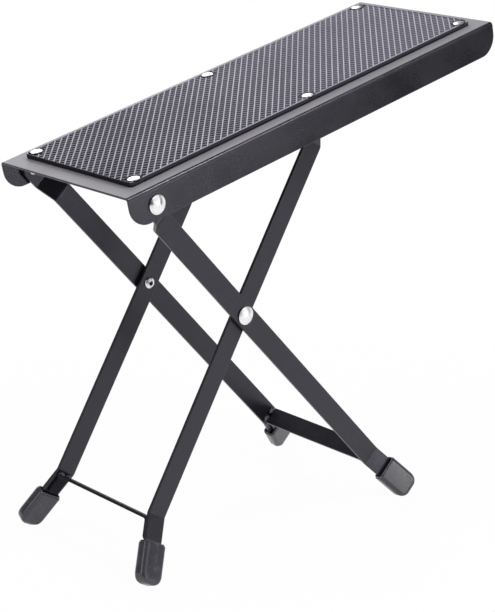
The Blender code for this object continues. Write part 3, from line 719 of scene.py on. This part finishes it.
outer_place = (deck_pin, axes_from(deck_pin, cross_pin))
cross_reach = np.linalg.norm(cross_pin - deck_pin)
tab_outside = DECK_WIDTH / 2 - DECK_SHEET - WASHER_THICK - 2 * PLAY
tab_middle = tab_outside - STRAP_THICK / 2
outer_outside = tab_outside - JOGGLE_DEPTH
outer_middle = outer_outside - STRAP_THICK / 2
outer_foot = (OUTER_BEND_REACH, outer_middle + OUTER_FLARE, OUTER_SPLAY)
leg_coat = powder_coat("leg_powder_coat", LEG_COAT, LEG_WORN, roughness=0.33, gloss=1.52)


def foot_line(foot, offset, distance):
    """A point beside a foot: offset inwards from its middle line and distance past its bend."""
    reach, middle, splay = foot
    x = reach + offset * math.sin(splay) + distance * math.cos(splay)
    y = middle - offset * math.cos(splay) + distance * math.sin(splay)
    return x, y


def strap(line, half, thick, ease, rounds, place, sign=1):
    """A flat bar bent along a line, in a body's own axes: the line's plane is (along, across)."""
    patches = []
    for patch in plate(line[0][-1], half, thick, ease, rounds, line[0][1:-1]):
        x, y = follow(line, patch[..., 0], patch[..., 2])
        patches.append(placed(np.stack([x, sign * y, patch[..., 1]], -1), place))
    return patches


def leg_pair(name, node, corners, place, body):
    """A left and a right leg on one bent line, round at the top and square in the cap."""
    line = bent_line(corners, STRAP_BEND + STRAP_THICK / 2)
    rounds = (STRAP_WIDTH / 2, STRAP_EASE)
    for hand, sign in SIDES.items():
        patches = strap(line, STRAP_WIDTH / 2, STRAP_THICK, STRAP_EASE, rounds, place, sign)
        weld(f"{name}_{hand}", patches, body, leg_coat, "black_powder_coat", f"{node}_{hand}")


outer_corners = [
    (-STRAP_WIDTH / 2, tab_middle),
    (JOGGLE_START, tab_middle),
    (JOGGLE_START + JOGGLE_RUN, outer_middle),
    (cross_reach, outer_middle),
    outer_foot[:2],
    foot_line(outer_foot, 0, OUTER_FOOT_LENGTH - CAP_FLOOR - PLAY),
]
leg_pair("outer_strap", "outer_leg", outer_corners, outer_place, "outer_frame")


# Outer brace
# A strap set across the outer frame just above the foot bends, folded down along the inside of
# both feet and welded there with two short beads on each side.

BRACE_THICK = 0.0015
BRACE_WIDTH = 0.0104
BRACE_BEND = 0.0015
BRACE_CORNER = 0.0020
BRACE_EASE = 0.00028
OUTER_BRACE_BEFORE_BEND = 0.0019
CAP_LENGTH = 0.0215
TAB_TO_CAP = 0.0008
BEAD_RADIUS = 0.0018
BEAD_RIPPLE = 0.09
BEAD_RIPPLES = 3
BEAD_SUNK = 0.0004
BEAD_SPANS = [(-0.0046, -0.0004), (0.0004, 0.0050)]
# The beads' coat is painted paler than the legs' as a painted highlight on the weld lumps.
BEAD_COAT = (0.048, 0.046, 0.056)
BEAD_WORN = (0.095, 0.092, 0.105)


def brace(name, node, finish, reach, foot, foot_length, place, body):
    """A strap up one foot's inside, across the frame at its reach, and down the other foot's.

    The fold is where the strap's line along the foot, carried on at the splay, meets the reach.
    """
    offset = STRAP_THICK / 2 + PLAY + BRACE_THICK / 2
    tab_end = foot_line(foot, offset, foot_length - CAP_LENGTH - TAB_TO_CAP)
    start = foot_line(foot, offset, 0)
    fold = (reach, start[1] + (reach - start[0]) * math.tan(foot[2]))
    corners = [(tab_end[0], -tab_end[1]), (fold[0], -fold[1]), fold, tab_end]
    line = bent_line(corners, BRACE_BEND + BRACE_THICK / 2)
    rounds = (BRACE_CORNER, BRACE_CORNER)
    patches = strap(line, BRACE_WIDTH / 2, BRACE_THICK, BRACE_EASE, rounds, place)
    weld(name, patches, body, finish, "black_powder_coat", node)


def weld_beads(name, reach, foot, place, body):
    """Two short rippled beads across each leg, in the groove above the brace's fold.

    The radius along a bead is BEAD_RADIUS * sqrt(sin(pi t)) * (1 + ripple * cos(2 pi ripples t)).
    """
    bend_reach, middle, splay = foot
    t = np.linspace(0, 1, 25)[:, None]
    a = np.linspace(0, 2 * np.pi, 17)
    radius = BEAD_RADIUS * np.sqrt(np.maximum(np.sin(np.pi * t), 0))
    radius = radius * (1 + BEAD_RIPPLE * np.cos(2 * np.pi * BEAD_RIPPLES * t))
    lean = splay if reach > bend_reach else 0
    distance = (reach - bend_reach - BRACE_THICK / 2 - BEAD_SUNK) / math.cos(lean) + radius * np.cos(a)
    offset = STRAP_THICK / 2 + PLAY + BEAD_SUNK + radius * np.sin(a)
    x, y = foot_line((bend_reach, middle, lean), offset, distance)
    beads = [(sign, low, high) for sign in SIDES.values() for low, high in BEAD_SPANS]
    for number, (sign, low, high) in enumerate(beads, 1):
        up = low + (high - low) * t + 0 * a
        points = placed(np.stack([x, sign * y, up], -1), place)
        weld(f"{name}_{number}", [points], body, bead_coat, "black_powder_coat")


bead_coat = powder_coat("bead_powder_coat", BEAD_COAT, BEAD_WORN, roughness=0.20, gloss=1.70)
rear_reach = OUTER_BEND_REACH - OUTER_BRACE_BEFORE_BEND
brace(
    "rear_brace",
    "outer_brace",
    leg_coat,
    rear_reach,
    outer_foot,
    OUTER_FOOT_LENGTH,
    outer_place,
    "outer_frame",
)
weld_beads("rear_weld", rear_reach, outer_foot, outer_place, "outer_frame")


# Rear foot caps
# Black rubber caps pushed over the feet: a thick flat sleeve with a lip round its mouth and a
# squarish rounded tip, pressed flat where it stands on the floor.

CAP_WIDTH = 0.0150
CAP_THICK = 0.0072
CAP_CORNER = 0.0024
CAP_TIP = 0.0058
CAP_TIP_THICK = 0.0026
CAP_TIP_SQUEEZE_SHARE = 0.85
CAP_LIP = 0.0005
CAP_LIP_END = 0.0007
CAP_SLEEVE_START = 0.0011
CAP_WALL = 0.0012
CAP_MOUTH_DEPTH = 0.0022
CAP_RUBBER = (0.052, 0.049, 0.064)
CAP_DUST = (0.074, 0.070, 0.086)
CAP_DUST_SIZE = 0.004
CAP_DUST_SPAN = (0.42, 0.75)
CAP_ROUGHNESS = (0.18, 0.28)
CAP_GRAIN_SIZE = 0.0006
CAP_GRAIN_DEPTH = 0.00002


def rounded_rings(x, half_y, half_z, radius, quarter_steps=6):
    """Rings of a rounded box section: corner centre + radius * (cos t, sin t), one ring per x."""
    quarter = np.repeat(np.arange(4), quarter_steps + 1)
    t = np.pi / 2 * (quarter + np.tile(np.linspace(0, 1, quarter_steps + 1), 4))
    sign_y = np.array([1, -1, -1, 1])[quarter]
    sign_z = np.array([1, 1, -1, -1])[quarter]
    x, half_y, half_z, radius = (np.asarray(value, float)[:, None] for value in (x, half_y, half_z, radius))
    y = sign_y * (half_y - radius) + radius * np.cos(t)
    z = sign_z * (half_z - radius) + radius * np.sin(t)
    rings = np.stack([x + 0 * y, y, z], -1)
    return np.concatenate([rings, rings[:, :1]], axis=1)


def cap_rings(foot_length):
    """A cap along x: the bottom of its slot, the mouth, the lip, the sleeve and the tip.

    At the angle b the tip is CAP_TIP * (1 - sin b) short of the end, its half width is less by
    CAP_TIP * (1 - cos b), and its thickness is rounded by its own smaller radius.
    """
    mouth = foot_length - CAP_LENGTH
    half_y, half_z = CAP_THICK / 2, CAP_WIDTH / 2
    slot = (STRAP_THICK / 2 + PLAY, STRAP_WIDTH / 2 + PLAY, PLAY)
    wide = (half_y - CAP_WALL, half_z - CAP_WALL, CAP_CORNER - CAP_WALL)
    rows = [
        (foot_length - CAP_FLOOR, 0, 0, 0),
        (foot_length - CAP_FLOOR, *slot),
        (mouth + CAP_MOUTH_DEPTH, *slot),
        (mouth + CAP_MOUTH_DEPTH, *wide),
        (mouth + CAP_LIP / 2, *wide),
    ]
    lip = (CAP_WALL - CAP_LIP) / 2
    for a in np.linspace(-np.pi / 2, np.pi / 2, 9):
        out = CAP_WALL - lip - lip * math.sin(a)
        rows.append((mouth + lip - lip * math.cos(a), half_y - out, half_z - out, CAP_CORNER - out))
    rows.append((mouth + CAP_LIP_END, half_y - CAP_LIP, half_z - CAP_LIP, CAP_CORNER - CAP_LIP))
    rows.append((mouth + CAP_SLEEVE_START, half_y, half_z, CAP_CORNER))
    for b in np.linspace(0, np.pi / 2, 13):
        short = CAP_TIP * (1 - math.sin(b))
        inside = max(0.0, CAP_TIP_THICK - short)
        squeeze = CAP_TIP_THICK - math.sqrt(CAP_TIP_THICK**2 - inside**2)
        tip_y = half_y - squeeze * CAP_TIP_SQUEEZE_SHARE
        tip_z = half_z - CAP_TIP * (1 - math.cos(b))
        corner = CAP_CORNER - (CAP_CORNER - CAP_LIP) * (1 - math.cos(b))
        rows.append((foot_length - short, tip_y, tip_z, min(corner, tip_y, tip_z)))
    rows.append((foot_length, 0, 0, 0))
    return rounded_rings(*np.array(rows).T)


def foot_caps(name, node, foot, foot_length, place, body):
    """A cap on each foot, turned by its splay t and flattened where it meets the floor.

    A ring's point (x, y) lies at (reach, middle) + (x cos t - y sin t, x sin t + y cos t).
    """
    reach, middle, splay = foot
    rings = cap_rings(foot_length)
    for hand, sign in SIDES.items():
        turn = sign * splay
        x = reach + rings[..., 0] * math.cos(turn) - rings[..., 1] * math.sin(turn)
        y = sign * middle + rings[..., 0] * math.sin(turn) + rings[..., 1] * math.cos(turn)
        points = placed(np.stack([x, y, rings[..., 2]], -1), place)
        points[..., 2] = np.maximum(points[..., 2], 0)
        weld(f"{name}_{hand}", [points], body, cap_rubber, "cap_rubber", f"{node}_{hand}")


def cap_finish():
    """Smooth moulded rubber, a little dusty, with a faint mould texture."""
    rubber = Finish("cap_rubber", Metallic=0.0, IOR=1.5)
    pale_share = rubber.between(rubber.noise(CAP_DUST_SIZE, detail=4.0, roughness=0.65), *CAP_DUST_SPAN)
    rubber.set(
        Base_Color=rubber.blend(pale_share, CAP_RUBBER, CAP_DUST),
        Roughness=rubber.between(pale_share, 0.0, 1.0, *CAP_ROUGHNESS),
        Normal=rubber.relief(rubber.noise(CAP_GRAIN_SIZE), CAP_GRAIN_DEPTH),
    )
    return rubber.material


cap_rubber = cap_finish()
foot_caps("rear_boot", "rear_foot_cap", outer_foot, OUTER_FOOT_LENGTH, outer_place, "outer_frame")


# Cross rivets
# A domed steel rivet through outer leg, washer and inner leg on each side: the two frames fold
# about them.  They are like the deck pivots, and a little duller.

cross_steel = bright_steel("cross_steel", roughness=0.32)
cross_grip = 2 * STRAP_THICK + WASHER_THICK + 4 * PLAY
side_rivets("cross_pin", "cross", cross_pin, outer_outside, cross_grip, cross_steel, "outer_frame")


# Inner legs
# Two more straps inside the outer ones, necked inwards near the top so that they clear the deck's
# rack and flanges, drilled for the rod, and bent outwards into feet like the outer pair.

INNER_BEND_REACH = 0.11003
INNER_FLARE = 0.0009
INNER_SPLAY = math.radians(22)
INNER_FOOT_LENGTH = 0.0358
INNER_TAB_LENGTH = 0.0090
INNER_NECK_RUN = 0.0120
INNER_NECK_DROP = 0.0066

inner_place = (cross_pin, axes_from(rod_pin, cross_pin))
rod_reach = np.linalg.norm(rod_pin - cross_pin)
inner_middle = outer_outside - STRAP_THICK - WASHER_THICK - 2 * PLAY - STRAP_THICK / 2
inner_foot = (INNER_BEND_REACH, inner_middle + INNER_FLARE, INNER_SPLAY)
neck_middle = inner_middle - INNER_NECK_DROP
tab_end = -rod_reach + INNER_TAB_LENGTH
inner_corners = [
    (-rod_reach - STRAP_WIDTH / 2, neck_middle),
    (tab_end, neck_middle),
    (tab_end + INNER_NECK_RUN, inner_middle),
    (0, inner_middle),
    inner_foot[:2],
    foot_line(inner_foot, 0, INNER_FOOT_LENGTH - CAP_FLOOR - PLAY),
]
leg_pair("inner_strap", "inner_leg", inner_corners, inner_place, "inner_frame")


# Inner brace and front foot caps
# The same brace, beads and caps on the inner frame.  This brace lies just past the foot bends, and
# its coat is matt, so that the floor's light doesn't draw a pale line along it.

INNER_BRACE_PAST_BEND = 0.0030

matt_coat = powder_coat("matt_powder_coat", LEG_COAT, LEG_WORN, roughness=0.55, gloss=1.20)
front_reach = INNER_BEND_REACH + INNER_BRACE_PAST_BEND
brace(
    "front_brace",
    "inner_brace",
    matt_coat,
    front_reach,
    inner_foot,
    INNER_FOOT_LENGTH,
    inner_place,
    "inner_frame",
)
weld_beads("front_weld", front_reach, inner_foot, inner_place, "inner_frame")
foot_caps("front_boot", "front_foot_cap", inner_foot, INNER_FOOT_LENGTH, inner_place, "inner_frame")


# Support rod
# A dark steel rod across the top of the inner frame, shouldered and headed over at both ends.  It
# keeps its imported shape.

ROD_STEEL = (0.16, 0.16, 0.17)
ROD_BRIGHT = (0.42, 0.42, 0.43)
ROD_RUB_SIZE = 0.003
ROD_RUB_SPAN = (0.50, 0.72)
ROD_ROUGHNESS = (0.44, 0.30)
ROD_GRAIN_SIZE = 0.0009
ROD_GRAIN_DEPTH = 0.00004


def rod_steel():
    """Dark oiled steel, rubbed bright in patches where the rack has borne on it."""
    steel = Finish("rod_steel", Metallic=1.0)
    rub = steel.between(steel.noise(ROD_RUB_SIZE, detail=4.0, roughness=0.7), *ROD_RUB_SPAN)
    steel.set(
        Base_Color=steel.blend(rub, ROD_STEEL, ROD_BRIGHT),
        Roughness=steel.between(rub, 0.0, 1.0, *ROD_ROUGHNESS),
        Normal=steel.relief(steel.noise(ROD_GRAIN_SIZE), ROD_GRAIN_DEPTH),
    )
    return steel.material


refinish("support_rod", rod_steel())


# Floor and backdrop
# A plain sheet of white paper lies on the floor, in front of a white backdrop, which is the world.
# The camera sees the paper as plain white but for the shadow near the footrest.

FLOOR_FRONT = 1.1
FLOOR_BACK = 1.8
FLOOR_SIDE = 0.76
SHADOW_REACH = 0.24
CLEAR_NEAR = 0.97
CLEAR_IN_GLOSS = 0.95
PAPER_SHADE = (0.90, 0.90, 0.90)
PAPER_LIGHT = (0.93, 0.93, 0.93)
PAPER_CLOUD_SIZE = 0.4
WHITE = (1.0, 1.0, 1.0)
CAMERA_AZIMUTH = math.radians(-42.45)

level_right = np.array([math.cos(CAMERA_AZIMUTH), math.sin(CAMERA_AZIMUTH), 0])
level_back = np.array([-math.sin(CAMERA_AZIMUTH), math.cos(CAMERA_AZIMUTH), 0])


def white_paper():
    """White paper that turns to plain white for the camera, by how far out a place lies."""
    paper = Finish("white_paper", Roughness=0.9, Metallic=0.0)
    out = paper.node("ShaderNodeVectorMath", {"operation": "LENGTH"}, {0: paper.place}, out="Value")
    paper.set(Base_Color=paper.blend(paper.noise(PAPER_CLOUD_SIZE), PAPER_SHADE, PAPER_LIGHT))
    white = paper.node("ShaderNodeEmission", (), {"Color": colour(WHITE), "Strength": 1.0})
    clear = paper.between(out, SHADOW_REACH, 2 * SHADOW_REACH, CLEAR_NEAR, 1.0)
    by_camera = paper.node("ShaderNodeLightPath", out="Is Camera Ray") * clear
    mirrored = paper.node("ShaderNodeLightPath", out="Is Glossy Ray") * CLEAR_IN_GLOSS
    seen = by_camera + mirrored + paper.node("ShaderNodeLightPath", out="Is Transmission Ray")
    lit = Wire(paper, paper.shader.outputs[0])
    mixed = paper.node("ShaderNodeMixShader", (), {0: seen, 1: lit, 2: white})
    paper.feed(paper.tree.nodes["Material Output"].inputs["Surface"], mixed)
    return paper.material


def paper_sheet():
    """A flat grid square to the camera's azimuth: out * back + sideways * right."""
    out = np.linspace(-FLOOR_FRONT, FLOOR_BACK, 9)
    sideways = np.linspace(-FLOOR_SIDE, FLOOR_SIDE, 7)
    grid = out[:, None, None] * level_back + sideways[None, :, None] * level_right
    sheet = bpy.data.meshes.new("paper_floor")
    sheet.from_pydata(grid.reshape(-1, 3).tolist(), [], grid_faces(*grid.shape[:2]).tolist())
    sheet.shade_smooth()
    sheet.materials.append(white_paper())
    return sheet


paper_floor = bpy.data.objects.new("paper_floor", paper_sheet())
bpy.context.scene.collection.objects.link(paper_floor)


# Lights
# Six soft boxes in a dim room.  One behind glances along the deck, others light it from the left,
# above and the front, a wide card fronts the rivets, and a small low one faces the near rear foot.

ROOM_DIM = 0.05
BACKDROP_SIDE = (0.15, 0.35)
BACKDROP_TOP = (0.30, 0.42)
LAMP_AIM = Vector((0, 0, 0.14))
# Each lamp's name, place, size and power.
LAMPS = [
    ("back", (0.70, 1.47, 1.08), 0.9, 12.0),
    ("left", (-1.50, 0.20, 0.70), 0.9, 6.5),
    ("top", (-0.45, 0.15, 1.45), 0.8, 8.0),
    ("front", (0.38, -0.62, 1.30), 0.35, 7.0),
    ("card", (0.38, -1.05, 0.45), 1.0, 3.2),
    ("low", (0.456, -0.95, 0.10), 0.22, 0.8),
]


class Room(Finish):
    """The world's own nodes, worked as a finish's are, with a ray's heading for its place."""

    def __init__(self, name):
        self.material = bpy.data.worlds.new(name)
        self.material.use_nodes = True
        self.tree = self.material.node_tree
        self.shader = self.tree.nodes["Background"]
        self.place = self.node("ShaderNodeTexCoord", out="Generated")


def dim_room():
    """A dim room with a white backdrop low behind the footrest, which mirrored rays see too.

    The camera sees white all round.
    """
    room = Room("dim_room")
    behind = room.between(room.along(level_back), *BACKDROP_SIDE)
    low = 1 - room.between(room.along((0, 0, 1)), *BACKDROP_TOP)
    mirrored = room.node("ShaderNodeLightPath", out="Is Glossy Ray") * behind * low
    by_camera = room.node("ShaderNodeLightPath", out="Is Camera Ray")
    white = by_camera + mirrored + room.node("ShaderNodeLightPath", out="Is Transmission Ray")
    room.set(Color=colour(WHITE), Strength=room.between(white, 0.0, 1.0, ROOM_DIM, 1.0))
    return room.material


bpy.context.scene.world = dim_room()
for name, spot, size, power in LAMPS:
    light = bpy.data.lights.new(name, "AREA")
    light.size = size
    light.energy = power
    lamp = bpy.data.objects.new(name, light)
    lamp.location = spot
    lamp.rotation_euler = (lamp.location - LAMP_AIM).to_track_quat("Z", "Y").to_euler()
    bpy.context.scene.collection.objects.link(lamp)


# Camera
# The photograph's view: from the low front left corner, a little above the deck.  It is set off
# from the deck pivot and turned a little about the footrest's crosswise axis.

CAMERA_ELEVATION = math.radians(17.80)
CAMERA_BACK = 0.892
CAMERA_RIGHT = 0.0766
CAMERA_DOWN = 0.0589
CAMERA_TURN = math.radians(-1.4)
LENS = 107.629

back = np.array([0, 0, math.sin(CAMERA_ELEVATION)]) - math.cos(CAMERA_ELEVATION) * level_back
up = np.cross(back, level_right)
cosine, sine = math.cos(CAMERA_TURN), math.sin(CAMERA_TURN)
turn = np.array([[cosine, 0, sine], [0, 1, 0], [-sine, 0, cosine]])
view = np.eye(4)
view[:3, :3] = turn @ np.stack([level_right, up, back], 1)
view[:3, 3] = deck_pin + turn @ (back * CAMERA_BACK + level_right * CAMERA_RIGHT - up * CAMERA_DOWN)
lens = bpy.data.cameras.new("camera")
lens.lens = LENS
camera = bpy.data.objects.new("camera", lens)
camera.matrix_world = Matrix(view.tolist())
bpy.context.scene.collection.objects.link(camera)
bpy.context.scene.camera = camera
bpy.context.scene.view_settings.view_transform = "Standard"
